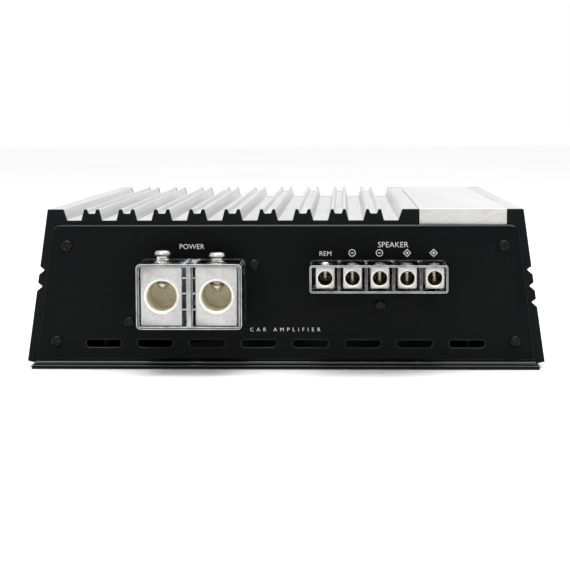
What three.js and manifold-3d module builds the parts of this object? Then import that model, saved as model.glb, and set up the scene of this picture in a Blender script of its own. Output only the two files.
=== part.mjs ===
// A car amplifier. A finned aluminium heatsink is the top and both sides of the casing, a black end
// frame and a black sheet-metal panel close each end, and a base plate closes the bottom. The power
// and speaker terminals stand out of the front panel, and the inputs and controls are on the rear one.
//
// Millimetres, +Z up. The terminals face -Y. The origin is under the middle of the whole object.
import * as THREE from "three";
import { mergeVertices } from "three/addons/utils/BufferGeometryUtils.js";
import Module from "manifold-3d";

const wasm = await Module();
wasm.setup();

// ---------------------------------------------------------------- driving dimensions

const GAP = 0.3; // left between two pieces that touch

// The body, from the face of the front end frame to the face of the rear one.
const BODY_FRONT = -123;
const BODY_REAR = 142;
const END_FRAME_THICKNESS = 2.5;

// Its outline, seen from the front: a trapezoid that narrows upwards.
const BOTTOM_HALF = 125;
const TOP_HALF = 114.1;
const FOOT_HALF = 121.7;
const FOOT_Z = 2.3;
const SHOULDER_Z = 3;
const FIN_ROOT_Z = 71.1;
const FIN_TOP_Z = 76.5;
const WALL = 5.5;
const CEILING_Z = 65.5;

// Nine fins, each with two prongs and a shallow valley between them.
const FIN_COUNT = 9;
const FIN_PITCH = 16.96;
const FIRST_FIN_X = -92.95;
const FIN_FOOT_HALF = 4.95;
const FIN_HEAD_HALF = 3.53;
const PRONG_INNER_HALF = 2.33;
const VALLEY_HALF = 1.6;
const VALLEY_Z = 74.4;
const LEFT_RAIL = { top: -106.6, root: -104.9 };
const RIGHT_RAIL = { root: 54.55, top: 56.4 };

// The brushed bar lies in a seat between the right rail and the right-hand edge.
const SEAT = { left: 64.2, right: 106.5, floor: 68.7 };
const BAR = { left: 64.7, right: 106, bottom: 69, top: 76.8 };

// V grooves along both sides.
const GROOVE_DEPTH = 2.4;
const GROOVE_HALF = 2;
const LEFT_GROOVES = [39.1, 47];
const RIGHT_GROOVES = [31.5, 39.4, 47.2];

// Panels: bent sheet with a foot that turns outwards along the bottom.
const SHEET = 2;
const PANEL = { topHalf: 111.85, bottomHalf: 120.2, bottom: 2.4, top: 69.1, corner: 4 };
const FOOT_LENGTH = 4.5;
const BEND_RADIUS = 1.6;
const FOOT_SHEET = 1.5;
const WINDOW = { half: 97, bottom: 8, top: 63 };

const BASE = { half: 122, front: -129.8, rear: 148.8, thickness: 2 };
const VENT = { count: 8, pitch: 25, z: 11.9, length: 17.2, height: 3.8 };

// Pan-head panel screws.
const SCREW_HEAD = 2.9;
const SCREW_SHANK = 1.5;
const SCREW_LENGTH = 9;
const PANEL_SCREWS = [
  [-104.7, 59.2],
  [104.7, 59.2],
  [-110.5, 13.1],
  [110.5, 13.1],
];
const TERMINAL_SCREWS = [
  [-14.6, 50],
  [-75.1, 22.1],
  [45.8, 30.6],
];

// Terminals.
const TERMINAL_FRONT = -153;
const BLOCK_FRONT = -152.4;
const BLOCK_REAR = -125.5;
const TAIL_REAR = -108;
const TERMINAL_BASE_REAR = -117.5;
const POWER = {
  cover: { left: -68.2, right: -18.9, bottom: 22, top: 52.6, corner: 2, wall: 1.4 },
  rib: { left: -44.7, right: -41.7 },
  flange: { left: -79.5, right: -10.2, bottom: 17.5, top: 54.5 },
  block: { half: 9.6, bottom: 23.9, top: 50.9 },
  centres: { left: -56.4, right: -30.8 },
  bore: { radius: 7.1, chamfer: 8.05, z: 37.55, depth: 22 },
  screw: { radius: 4, y: -145, tops: { left: 58.5, right: 57.6 }, length: 18.3 },
  tail: { half: 4, thickness: 4 },
};
const SPEAKER = {
  cover: { left: 12.6, right: 76.6, bottom: 39.1, top: 52, corner: 1.2, wall: 0.85 },
  flange: { left: 8.9, right: 80.3, bottom: 26.5, top: 55 },
  block: { half: 4.35, bottom: 41.3, top: 50.8 },
  firstX: 19.8,
  pitch: 12.68,
  bore: { radius: 3.4, chamfer: 3.8, z: 46, depth: 19 },
  screw: { radius: 2, y: -145.6, length: 9 },
  tail: { half: 2, thickness: 2.4 },
};
const SPEAKER_SETS = [
  { name: "remote", top: 53.1 },
  { name: "speaker_1", top: 51.75 },
  { name: "speaker_2", top: 51.75 },
  { name: "speaker_3", top: 51.75 },
  { name: "speaker_4", top: 51.75 },
];

// Controls and sockets of the rear panel, all on one line.
const CONTROL_Z = 40;
const KNOB_Y = 145;
const KNOB_END = 153;
const KNOBS = [
  { name: "bass_boost", x: -40 },
  { name: "subsonic", x: -18 },
  { name: "low_pass", x: 4 },
  { name: "gain", x: 26 },
];
const KNOB = { radius: 5.6, cap: 5, shaft: 2.1, ribs: 12 };
const POT = { half: 5.5, front: 128.6, rear: 138, bushing: 3.3, bore: 2.4, reach: 144.6 };
const SWITCH = { left: 47, right: 61, half: 3.6, front: 128.6, rear: 141.5, travel: 4 };
const SLIDER = { left: 50.2, right: 54, half: 1.5, front: 134.5, end: 146.4 };
const SOCKET = { left: 72, right: 85, bottom: 34.5, top: 45.5, front: 128.6, end: 144.5 };
const SOCKET_WALL = 1.3;
const SOCKET_DEPTH = 12;
const RCA = { firstX: -89, spacing: 18, barrel: 4.15, flange: 5.6, end: 153, front: 132 };
const LED = { x: 94, radius: 1.5, front: 128.6, end: 146 };

// Inside.
const BOARD = { left: -104, right: 104, front: -113, rear: 131, bottom: 12, top: 13.6 };
const CONTROL_BOARD = { left: -102, right: 102, bottom: 26, top: 52, front: 126.7, rear: 128.3 };
const STANDOFFS = [-90, 0, 90];

// ---------------------------------------------------------------- shapes and cuts

const radians = (degrees) => (degrees * Math.PI) / 180;

// Points [x, z] along an arc, both ends included.
function arc(x, z, radius, from, to, steps) {
  return Array.from({ length: steps + 1 }, (_, i) => {
    const angle = radians(from + ((to - from) * i) / steps);
    return [x + radius * Math.cos(angle), z + radius * Math.sin(angle)];
  });
}

const circle = (x, z, radius, sides = 14) => arc(x, z, radius, 0, 360, sides).slice(0, -1);

function roundedBox(left, right, bottom, top, radius, steps = 3) {
  return [
    ...arc(right - radius, top - radius, radius, 0, 90, steps),
    ...arc(left + radius, top - radius, radius, 90, 180, steps),
    ...arc(left + radius, bottom + radius, radius, 180, 270, steps),
    ...arc(right - radius, bottom + radius, radius, 270, 360, steps),
  ];
}

const square = (left, right, bottom, top) => [
  [left, bottom],
  [right, bottom],
  [right, top],
  [left, top],
];

const vectors = (points) => points.map(([x, z]) => new THREE.Vector2(x, z));

// An outline in X and Z, drawn out along Y, with holes right through it.
function prism(outline, front, rear, holes = []) {
  const settings = { depth: rear - front, bevelEnabled: false };
  const whole = new THREE.ExtrudeGeometry(new THREE.Shape(vectors(outline)), settings);
  whole.rotateX(radians(90)).translate(0, rear, 0);
  return holes.length ? cut(whole, ...holes.map((hole) => prism(hole, front - 1, rear + 1))) : whole;
}

function box(left, right, front, rear, bottom, top) {
  const geometry = new THREE.BoxGeometry(right - left, rear - front, top - bottom);
  return geometry.translate((left + right) / 2, (front + rear) / 2, (bottom + top) / 2);
}

function rodAlongY(x, z, radius, front, rear, sides = 16) {
  const rod = new THREE.CylinderGeometry(radius, radius, rear - front, sides);
  return rod.translate(x, (front + rear) / 2, z);
}

function rodAlongZ(x, y, radius, bottom, top, sides = 14) {
  const rod = new THREE.CylinderGeometry(radius, radius, top - bottom, sides);
  return rod.rotateX(radians(90)).translate(x, y, (bottom + top) / 2);
}

// A profile [radius, height] turned about +Y.
const turned = (profile, sides = 14) => new THREE.LatheGeometry(vectors(profile), sides);

function toSolid(geometry) {
  const bare = geometry.clone();
  bare.deleteAttribute("normal");
  bare.deleteAttribute("uv");
  const merged = mergeVertices(bare, 1e-4);
  const mesh = new wasm.Mesh({
    numProp: 3,
    vertProperties: merged.attributes.position.array,
    triVerts: new Uint32Array(merged.index.array),
  });
  return new wasm.Manifold(mesh);
}

function toGeometry(solid) {
  const mesh = solid.getMesh();
  const geometry = new THREE.BufferGeometry();
  geometry.setAttribute("position", new THREE.BufferAttribute(mesh.vertProperties, 3));
  geometry.setIndex(new THREE.BufferAttribute(mesh.triVerts, 1));
  geometry.computeVertexNormals();
  return geometry;
}

const joined = (...pieces) => toGeometry(pieces.map(toSolid).reduce((a, b) => a.add(b)));
const cut = (piece, ...tools) =>
  toGeometry(tools.map(toSolid).reduce((a, b) => a.subtract(b), toSolid(piece)));
const shared = (a, b) => toGeometry(toSolid(a).intersect(toSolid(b)));

// ---------------------------------------------------------------- materials

const material = (color, roughness, metalness, more = {}) =>
  new THREE.MeshStandardMaterial({ color, roughness, metalness, ...more });

const finish = {
  silver: material(0xdcdde0, 0.42, 0.9),
  brushed: material(0xd6d7d4, 0.35, 1),
  black: material(0x1b1d20, 0.45, 0.2),
  clear: material(0xe6ecee, 0.08, 0, { transparent: true, opacity: 0.35 }),
  nickel: material(0xcfcbc2, 0.3, 1),
  screwSteel: material(0x26282b, 0.35, 0.8),
  plastic: material(0x161719, 0.55, 0),
  gold: material(0xc9a24a, 0.25, 1),
  board: material(0x1d5a35, 0.5, 0),
  copper: material(0xa5562b, 0.35, 0.9),
  sleeve: material(0x20242c, 0.4, 0),
  led: material(0x2f6bd8, 0.2, 0, { transparent: true, opacity: 0.8 }),
};

const amplifier = new THREE.Group();

function add(group, name, geometry, look) {
  const mesh = new THREE.Mesh(geometry, look);
  mesh.name = name;
  group.add(mesh);
  return mesh;
}

// ---------------------------------------------------------------- body outline

// X of the sloping side at a height: the outside face, or a face that lies further in.
const sideX = (z, inwards = 0) => {
  const slope = (BOTTOM_HALF - TOP_HALF) / (FIN_TOP_Z - SHOULDER_Z);
  return BOTTOM_HALF - inwards - (z - SHOULDER_Z) * slope;
};

// One groove from its lower lip to its upper one. Its root sits a little above the middle.
function groove(side, z) {
  return [
    [side * sideX(z - GROOVE_HALF), z - GROOVE_HALF],
    [side * sideX(z, GROOVE_DEPTH), z + GROOVE_HALF * 0.15],
    [side * sideX(z + GROOVE_HALF), z + GROOVE_HALF],
  ];
}

function fin(x) {
  const left = [
    [x - FIN_FOOT_HALF, FIN_ROOT_Z],
    [x - FIN_HEAD_HALF, FIN_TOP_Z],
    [x - PRONG_INNER_HALF, FIN_TOP_Z],
    [x - VALLEY_HALF, VALLEY_Z],
  ];
  const right = left.map(([px, z]) => [2 * x - px, z]).reverse();
  return [...left, ...right];
}

// Up the left side, over the fins and the seat of the bar, and down the right side.
function bodyOutline() {
  const fins = Array.from({ length: FIN_COUNT }, (_, i) => fin(FIRST_FIN_X + i * FIN_PITCH));
  return [
    [-FOOT_HALF, FOOT_Z],
    [-BOTTOM_HALF, SHOULDER_Z],
    ...LEFT_GROOVES.flatMap((z) => groove(-1, z)),
    [-TOP_HALF, FIN_TOP_Z],
    [LEFT_RAIL.top, FIN_TOP_Z],
    [LEFT_RAIL.root, FIN_ROOT_Z],
    ...fins.flat(),
    [RIGHT_RAIL.root, FIN_ROOT_Z],
    [RIGHT_RAIL.top, FIN_TOP_Z],
    [SEAT.left, FIN_TOP_Z],
    [SEAT.left, SEAT.floor],
    [SEAT.right, SEAT.floor],
    [SEAT.right, FIN_TOP_Z],
    [TOP_HALF, FIN_TOP_Z],
    ...RIGHT_GROOVES.flatMap((z) => groove(1, z)).reverse(),
    [BOTTOM_HALF, SHOULDER_Z],
    [FOOT_HALF, FOOT_Z],
  ];
}

// ---------------------------------------------------------------- casing

const casing = new THREE.Group();
amplifier.add(casing);

// An extrusion, open underneath and at both ends.
function heatsink() {
  const inside = [
    [sideX(FOOT_Z, WALL), FOOT_Z],
    [sideX(CEILING_Z, WALL), CEILING_Z],
    [-sideX(CEILING_Z, WALL), CEILING_Z],
    [-sideX(FOOT_Z, WALL), FOOT_Z],
  ];
  const front = BODY_FRONT + END_FRAME_THICKNESS + GAP;
  const rear = BODY_REAR - END_FRAME_THICKNESS - GAP;
  return prism([...bodyOutline(), ...inside], front, rear);
}

// A plate with the outline of the heatsink and a wide window, drilled for the panel's screws.
function endFrame(front) {
  const window = roundedBox(-WINDOW.half, WINDOW.half, WINDOW.bottom, WINDOW.top, 5);
  const holes = PANEL_SCREWS.map(([x, z]) => circle(x, z, SCREW_SHANK + GAP, 8));
  return prism(bodyOutline(), front, front + END_FRAME_THICKNESS, [window, ...holes]);
}

const ventX = (i) => (i - (VENT.count - 1) / 2) * VENT.pitch;

function ventSlot(x) {
  const reach = VENT.length / 2;
  const half = VENT.height / 2;
  return roundedBox(x - reach, x + reach, VENT.z - half, VENT.z + half, half - 0.01, 3);
}

// The sheet seen from its end: up the back, down the face, and out along the foot. Y and Z, with the
// back of the sheet at y = 0 and the foot towards -Y.
function sheetProfile() {
  const { bottom, top } = PANEL;
  const toe = -SHEET - FOOT_LENGTH;
  const bend = arc(-SHEET - BEND_RADIUS, bottom + FOOT_SHEET + BEND_RADIUS, BEND_RADIUS, 0, -90, 5);
  const heel = arc(-BEND_RADIUS, bottom + BEND_RADIUS, BEND_RADIUS, -90, 0, 5);
  return [[toe, bottom], ...heel, [0, top], [-SHEET, top], ...bend, [toe, bottom + FOOT_SHEET]];
}

// A bent sheet whose ends slope with the body. `outwards` is -1 for the front panel, 1 for the rear.
function panel(back, outwards, holes) {
  const { topHalf, bottomHalf, bottom, top, corner } = PANEL;
  const sheet = new THREE.ExtrudeGeometry(new THREE.Shape(vectors(sheetProfile())), {
    depth: 2 * bottomHalf + 2,
    bevelEnabled: false,
  });
  // The profile's axes are turned to Y and Z, and the extrusion runs along X.
  sheet.applyMatrix4(new THREE.Matrix4().set(0, 0, 1, 0, 1, 0, 0, 0, 0, 1, 0, 0, 0, 0, 0, 1));
  sheet.translate(-bottomHalf - 1, 0, 0);
  if (outwards > 0) sheet.rotateZ(radians(180));
  sheet.translate(0, back, 0);
  const outline = [
    [-bottomHalf, bottom - 1],
    [bottomHalf, bottom - 1],
    ...arc(topHalf - corner, top - corner, corner, 8, 90, 4),
    ...arc(-topHalf + corner, top - corner, corner, 90, 172, 4),
  ];
  return shared(sheet, prism(outline, back - 20, back + 20, holes));
}

const vents = Array.from({ length: VENT.count }, (_, i) => ventSlot(ventX(i)));
const screwHoles = (places) => places.map(([x, z]) => circle(x, z, SCREW_SHANK + GAP, 8));

// The opening that a terminal cover passes through.
const coverOpening = ({ left, right, bottom, top, corner }) =>
  roundedBox(left - GAP, right + GAP, bottom - GAP, top + GAP, corner);

function frontPanel() {
  const openings = [coverOpening(POWER.cover), coverOpening(SPEAKER.cover)];
  const screws = screwHoles([...PANEL_SCREWS, ...TERMINAL_SCREWS]);
  return panel(BODY_FRONT, -1, [...vents, ...screws, ...openings]);
}

const rcaX = [RCA.firstX, RCA.firstX + RCA.spacing];

function rearPanel() {
  const { left, right, bottom, top } = SOCKET;
  const trackLeft = SLIDER.left - 2 * GAP;
  const trackRight = SLIDER.right + SWITCH.travel + 2 * GAP;
  const trackHalf = SLIDER.half + 2 * GAP;
  const holes = [
    ...KNOBS.map(({ x }) => circle(x, CONTROL_Z, POT.bushing + GAP)),
    ...rcaX.map((x) => circle(x, CONTROL_Z, RCA.barrel + GAP)),
    circle(LED.x, CONTROL_Z, LED.radius + GAP, 8),
    square(left - GAP, right + GAP, bottom - GAP, top + GAP),
    square(trackLeft, trackRight, CONTROL_Z - trackHalf, CONTROL_Z + trackHalf),
  ];
  return panel(BODY_REAR, 1, [...vents, ...screwHoles(PANEL_SCREWS), ...holes]);
}

// A flat plate with pressed-in standoffs for the circuit board.
function basePlate() {
  const plate = box(-BASE.half, BASE.half, BASE.front, BASE.rear, 0, BASE.thickness);
  const standoffs = STANDOFFS.flatMap((x) =>
    [BOARD.front + 12, BOARD.rear - 12].map((y) =>
      rodAlongZ(x, y, 3, BASE.thickness - 1, BOARD.bottom - GAP, 8),
    ),
  );
  return joined(plate, ...standoffs);
}

add(casing, "heatsink", heatsink(), finish.silver);
add(casing, "top_bar", box(BAR.left, BAR.right, BODY_FRONT, BODY_REAR, BAR.bottom, BAR.top), finish.brushed);
add(casing, "front_end_frame", endFrame(BODY_FRONT), finish.black);
add(casing, "rear_end_frame", endFrame(BODY_REAR - END_FRAME_THICKNESS), finish.black);
add(casing, "front_panel", frontPanel(), finish.black);
add(casing, "rear_panel", rearPanel(), finish.black);
add(casing, "base_plate", basePlate(), finish.black);

// ---------------------------------------------------------------- panel screws

// A pan head with a cross recess. It is made with the head's seat at y = 0 and the head towards -Y.
function panScrew() {
  const profile = [
    [0, -1.7],
    [SCREW_HEAD - 0.9, -1.5],
    [SCREW_HEAD, -0.7],
    [SCREW_HEAD, 0],
    [SCREW_SHANK, 0],
    [SCREW_SHANK, SCREW_LENGTH],
    [0, SCREW_LENGTH],
  ];
  const recess = joined(box(-1.6, 1.6, -3, -0.7, -0.4, 0.4), box(-0.4, 0.4, -3, -0.7, -1.6, 1.6));
  return cut(turned(profile, 10), recess);
}

function addScrews(group, name, places, y, outwards) {
  places.forEach(([x, z], i) => {
    const screw = add(group, `${name}_${i + 1}`, panScrew(), finish.screwSteel);
    screw.position.set(x, y, z);
    if (outwards > 0) screw.rotation.z = Math.PI;
  });
}

const HEAD_SEAT = SHEET + 0.05;
const fasteners = new THREE.Group();
amplifier.add(fasteners);
addScrews(fasteners, "front_panel_screw", PANEL_SCREWS, BODY_FRONT - HEAD_SEAT, -1);
addScrews(fasteners, "terminal_screw", TERMINAL_SCREWS, BODY_FRONT - HEAD_SEAT, -1);
addScrews(fasteners, "rear_panel_screw", PANEL_SCREWS, BODY_REAR + HEAD_SEAT, 1);

// ---------------------------------------------------------------- terminals

const terminals = new THREE.Group();
amplifier.add(terminals);
const COVER_REAR = BODY_FRONT + 0.2;
const BASE_FRONT = BODY_FRONT + 0.5;

// A clamping block with a wire bore in its face, a hole for the set screw in its top, and a tail
// that passes through the terminal base and turns down to the circuit board.
function block({ block: size, bore, screw, tail }, x, boreSides) {
  const { half, bottom, top } = size;
  const body = box(x - half, x + half, BLOCK_FRONT, BLOCK_REAR, bottom, top);
  const tailTop = bore.z + tail.thickness / 2;
  const tailBottom = bore.z - tail.thickness / 2;
  const run = box(x - tail.half, x + tail.half, BLOCK_REAR - 1, TAIL_REAR, tailBottom, tailTop);
  const legFront = TAIL_REAR - tail.thickness;
  const leg = box(x - tail.half, x + tail.half, legFront, TAIL_REAR, BOARD.top + GAP, tailTop);
  const mouth = turned(
    [
      [0, -1],
      [bore.chamfer + 1, -1],
      [bore.radius, bore.chamfer - bore.radius],
      [0, bore.chamfer - bore.radius],
    ],
    boreSides,
  ).translate(x, BLOCK_FRONT, bore.z);
  return cut(
    joined(body, run, leg),
    rodAlongY(x, bore.z, bore.radius, BLOCK_FRONT - 1, BLOCK_FRONT + bore.depth, boreSides),
    rodAlongZ(x, screw.y, screw.radius + GAP, bore.z, top + 1),
    mouth,
  );
}

// A headless set screw with a hexagon socket and a cone point.
function setScrew({ radius, length }) {
  const chamfer = radius * 0.2;
  const profile = [
    [0, 0],
    [radius * 0.35, 0],
    [radius - chamfer, radius * 0.45],
    [radius, radius * 0.7],
    [radius, length - chamfer],
    [radius - chamfer, length],
    [0, length],
  ];
  const upright = turned(profile).rotateX(radians(90));
  return cut(upright, rodAlongZ(0, 0, radius * 0.55, length - radius * 0.9, length + 1, 6));
}

function addSetScrew(name, { screw }, x, top) {
  const piece = add(terminals, name, setScrew(screw), finish.nickel);
  piece.position.set(x, screw.y, top - screw.length);
}

// A clear sleeve round the blocks, with ribs between them and a hole over each set screw.
function cover({ cover: size, screw }, ribs, centres) {
  const { left, right, bottom, top, corner, wall } = size;
  const outer = roundedBox(left, right, bottom, top, corner);
  const inner = square(left + wall, right - wall, bottom + wall, top - wall);
  const sleeve = prism(outer, TERMINAL_FRONT, COVER_REAR, [inner]);
  const walls = ribs.map((rib) =>
    box(rib.left, rib.right, TERMINAL_FRONT + 0.4, COVER_REAR, bottom + wall / 2, top - wall / 2),
  );
  const holes = centres.map((x) => rodAlongZ(x, screw.y, screw.radius + 0.7, top - wall - 1, top + 1));
  return cut(joined(sleeve, ...walls), ...holes);
}

// A moulded plate behind the panel that carries the blocks.
function terminalBase({ flange, bore, tail }, centres) {
  const { left, right, bottom, top } = flange;
  const slots = centres.map((x) =>
    square(
      x - tail.half - GAP,
      x + tail.half + GAP,
      bore.z - tail.thickness / 2 - GAP,
      bore.z + tail.thickness / 2 + GAP,
    ),
  );
  const inside = ([x, z]) => x > left && x < right && z > bottom && z < top;
  const holes = screwHoles(TERMINAL_SCREWS.filter(inside));
  return prism(roundedBox(left, right, bottom, top, 3), BASE_FRONT, TERMINAL_BASE_REAR, [...slots, ...holes]);
}

const powerX = Object.values(POWER.centres);
add(terminals, "power_terminal_cover", cover(POWER, [POWER.rib], powerX), finish.clear);
add(terminals, "power_terminal_base", terminalBase(POWER, powerX), finish.plastic);
for (const [side, x] of Object.entries(POWER.centres)) {
  add(terminals, `power_block_${side}`, block(POWER, x, 28), finish.nickel);
  addSetScrew(`power_set_screw_${side}`, POWER, x, POWER.screw.tops[side]);
}

const speakerX = SPEAKER_SETS.map((_, i) => SPEAKER.firstX + i * SPEAKER.pitch);
const RIB_HALF = 0.6;
const speakerRibs = speakerX.slice(1).map((x) => {
  const middle = x - SPEAKER.pitch / 2;
  return { left: middle - RIB_HALF, right: middle + RIB_HALF };
});
add(terminals, "speaker_terminal_cover", cover(SPEAKER, speakerRibs, speakerX), finish.clear);
add(terminals, "speaker_terminal_base", terminalBase(SPEAKER, speakerX), finish.plastic);
SPEAKER_SETS.forEach(({ name, top }, i) => {
  add(terminals, `${name}_block`, block(SPEAKER, speakerX[i], 16), finish.nickel);
  addSetScrew(`${name}_set_screw`, SPEAKER, speakerX[i], top);
});

// ---------------------------------------------------------------- rear controls

const controls = new THREE.Group();
controls.position.z = CONTROL_Z;
amplifier.add(controls);

// A knurled knob on its shaft, made about +Y with y = 0 at the knob's inner face.
function knob() {
  const { radius, cap, shaft, ribs } = KNOB;
  const length = KNOB_END - KNOB_Y;
  const head = turned(
    [
      [0, 0],
      [radius - 0.4, 0],
      [radius - 0.4, length - 0.9],
      [cap - 0.7, length],
      [0, length],
    ],
    24,
  );
  const flutes = Array.from({ length: ribs }, (_, i) => {
    const angle = (2 * Math.PI * i) / ribs;
    return rodAlongY(radius * Math.cos(angle), radius * Math.sin(angle), 0.7, 1.2, length + 1, 4);
  });
  const pointer = box(-0.45, 0.45, length - 0.6, length + 1, cap * 0.25, radius + 1);
  const stem = rodAlongY(0, 0, shaft, POT.front + 1.4 - KNOB_Y, 1, 16);
  return cut(joined(head, stem), ...flutes, pointer);
}

// The potentiometer behind the panel: a square case and a hollow bushing through the panel.
function potentiometer() {
  const { half, front, rear, bushing, bore, reach } = POT;
  const body = box(-half, half, front, rear, -half, half);
  const neck = rodAlongY(0, 0, bushing, rear - 1, reach, 14);
  return cut(joined(body, neck), rodAlongY(0, 0, bore, front + 1, reach + 1, 14));
}

for (const { name, x } of KNOBS) {
  const dial = add(controls, `${name}_knob`, knob(), finish.plastic);
  dial.position.set(x, KNOB_Y, 0);
  add(controls, `${name}_potentiometer`, potentiometer(), finish.plastic).position.x = x;
}

function switchBody() {
  const { left, right, half, front, rear, travel } = SWITCH;
  const track = box(
    SLIDER.left - GAP,
    SLIDER.right + travel + GAP,
    SLIDER.front - GAP,
    rear + 1,
    -SLIDER.half - GAP,
    SLIDER.half + GAP,
  );
  return cut(box(left, right, front, rear, -half, half), track);
}

add(controls, "phase_switch_body", switchBody(), finish.nickel);
const sliderBox = box(SLIDER.left, SLIDER.right, SLIDER.front, SLIDER.end, -SLIDER.half, SLIDER.half);
add(controls, "phase_switch_slider", sliderBox, finish.plastic);

// A square socket for the lead of a remote level control.
function remoteSocket() {
  const { left, right, bottom, top, front, end } = SOCKET;
  const wall = SOCKET_WALL;
  const cavity = box(left + wall, right - wall, end - SOCKET_DEPTH, end + 1, bottom + wall, top - wall);
  return cut(box(left, right, front, end, bottom, top), cavity);
}

add(amplifier, "remote_socket", remoteSocket(), finish.plastic);

// A signal jack: a barrel with a collar against the panel and a hole for the plug's pin.
function signalJack() {
  const { barrel, flange, end, front } = RCA;
  const face = BODY_REAR + SHEET + 0.2;
  return turned(
    [
      [0, front],
      [barrel - 0.5, front],
      [barrel - 0.5, BODY_REAR - 0.5],
      [barrel, BODY_REAR - 0.5],
      [barrel, face],
      [flange, face],
      [flange, face + 1.4],
      [barrel, face + 1.8],
      [barrel, end - 0.4],
      [barrel - 0.4, end],
      [1.7, end],
      [1.7, end - 7.5],
      [0, end - 7.5],
    ],
    16,
  );
}

["right", "left"].forEach((side, i) => {
  add(controls, `rca_jack_${side}`, signalJack(), finish.gold).position.x = rcaX[i];
});

function ledLens() {
  const dome = arc(0, LED.end - LED.radius, LED.radius, 0, 90, 4).slice(0, -1);
  return turned([[0, LED.front], [LED.radius, LED.front], ...dome, [0, LED.end]], 12);
}

add(controls, "status_led", ledLens(), finish.led).position.x = LED.x;

// ---------------------------------------------------------------- inside

const inside = new THREE.Group();
amplifier.add(inside);

// The main board lies on the standoffs, and the control board stands behind the potentiometers.
const bareBoard = ({ left, right, front, rear, bottom, top }) => box(left, right, front, rear, bottom, top);
add(inside, "circuit_board", bareBoard(BOARD), finish.board);
add(inside, "control_board", bareBoard(CONTROL_BOARD), finish.board);

// A wound ring lying on the board.
function ring(ringRadius, windingRadius) {
  const section = arc(ringRadius, 0, windingRadius, -180, 180, 9);
  return turned(section, 20).rotateX(radians(90)).translate(0, 0, BOARD.top + GAP + windingRadius);
}

add(inside, "toroid_transformer", ring(24, 11), finish.copper).position.set(-42, -58, 0);
add(inside, "output_inductor", ring(15, 8), finish.copper).position.set(45, -62, 0);

const CAPACITOR = { count: 3, radius: 12.5, height: 42, y: 22, firstX: -60, pitch: 30 };
for (let i = 0; i < CAPACITOR.count; i++) {
  const x = CAPACITOR.firstX + i * CAPACITOR.pitch;
  const bottom = BOARD.top + GAP;
  const can = rodAlongZ(x, CAPACITOR.y, CAPACITOR.radius, bottom, bottom + CAPACITOR.height, 24);
  add(inside, `capacitor_${i + 1}`, can, finish.sleeve);
}

// Power transistors in a row against each side wall, standing in one strip.
const TRANSISTORS = { count: 8, pitch: 26, width: 16, front: -96, bottom: 20, top: 42, thickness: 5 };

function leaning(side, inner, outer, bottom, top) {
  return [
    [side * sideX(bottom, inner), bottom],
    [side * sideX(bottom, outer), bottom],
    [side * sideX(top, outer), top],
    [side * sideX(top, inner), top],
  ];
}

function transistorRow(side) {
  const { count, pitch, width, front, bottom, top, thickness } = TRANSISTORS;
  const back = WALL + GAP;
  const rear = front + (count - 1) * pitch + width;
  const strip = prism(leaning(side, back, back + 2, bottom - 3, bottom + 1), front, rear);
  const packages = Array.from({ length: count }, (_, i) => {
    const start = front + i * pitch;
    return prism(leaning(side, back, back + thickness, bottom, top), start, start + width);
  });
  return joined(strip, ...packages);
}

add(inside, "left_transistor_row", transistorRow(-1), finish.plastic);
add(inside, "right_transistor_row", transistorRow(1), finish.plastic);

export default amplifier;
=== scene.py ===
# %% [markdown]
# # A car amplifier
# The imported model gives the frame: every piece is already at its real size and place. This script makes
# the surfaces. It rounds the edges, cuts the threads, winds the coils, prints the labels, and gives each
# piece a finish made of shader nodes. Lengths are metres, +Z is up, and the terminals face -Y.

# %% Load the frame
import math
import bmesh
import bpy
from mathutils import Matrix, Vector


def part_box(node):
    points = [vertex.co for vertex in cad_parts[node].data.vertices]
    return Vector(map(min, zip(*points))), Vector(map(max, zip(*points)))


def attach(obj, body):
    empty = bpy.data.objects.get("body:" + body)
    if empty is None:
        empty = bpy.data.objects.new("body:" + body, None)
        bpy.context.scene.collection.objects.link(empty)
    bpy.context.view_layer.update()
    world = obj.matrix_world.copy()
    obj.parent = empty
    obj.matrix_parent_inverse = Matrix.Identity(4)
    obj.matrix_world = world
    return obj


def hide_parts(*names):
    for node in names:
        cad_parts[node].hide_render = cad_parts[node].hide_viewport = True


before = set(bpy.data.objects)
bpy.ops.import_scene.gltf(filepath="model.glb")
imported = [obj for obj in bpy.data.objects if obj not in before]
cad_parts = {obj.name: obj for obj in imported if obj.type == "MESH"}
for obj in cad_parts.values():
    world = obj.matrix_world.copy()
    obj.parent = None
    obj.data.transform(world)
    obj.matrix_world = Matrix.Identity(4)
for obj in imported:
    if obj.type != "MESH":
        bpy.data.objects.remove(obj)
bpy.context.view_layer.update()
MM = 0.001

# %% [markdown]
# The camera stands 0.8 m in front of the body, a little to the right of its middle and just above the
# fins. It looks 5.6 degrees down and 2 degrees to the left, through a long lens, so that the fins run
# back towards a point above the picture. An upright camera with a shifted lens would frame it too, but
# the front would then lose the slight taper that a turned camera gives it.

# %% The camera
body_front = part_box("front_end_frame")[0].y
DISTANCE = 0.8
LOOK_DOWN, LOOK_LEFT, ROLL = 5.596, 1.99, 0.176
camera_data = bpy.data.cameras.new("camera")
camera_data.sensor_width = 36
camera_data.lens = 105.6
camera = bpy.data.objects.new("camera", camera_data)
camera.location = (0.0282, body_front - DISTANCE, 0.1185)
camera.rotation_euler = (math.radians(90 - LOOK_DOWN), math.radians(ROLL), math.radians(LOOK_LEFT))
bpy.context.scene.collection.objects.link(camera)
bpy.context.scene.camera = camera
bpy.context.scene.view_settings.view_transform = "Standard"
print("The camera is", round(-camera.location.y, 3), "m in front of the middle")

# %% [markdown]
# Black paint and bright metal show what is around them, so the studio matters as much as the finish. A
# near-white world gives even light from all sides. One soft box overhead draws the highlights along the
# upper edges, and a weaker one in front lifts the terminals.

# %% Floor and lights
FLOOR_RADIUS = 7.0
FLOOR_SIDES = 96


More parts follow.
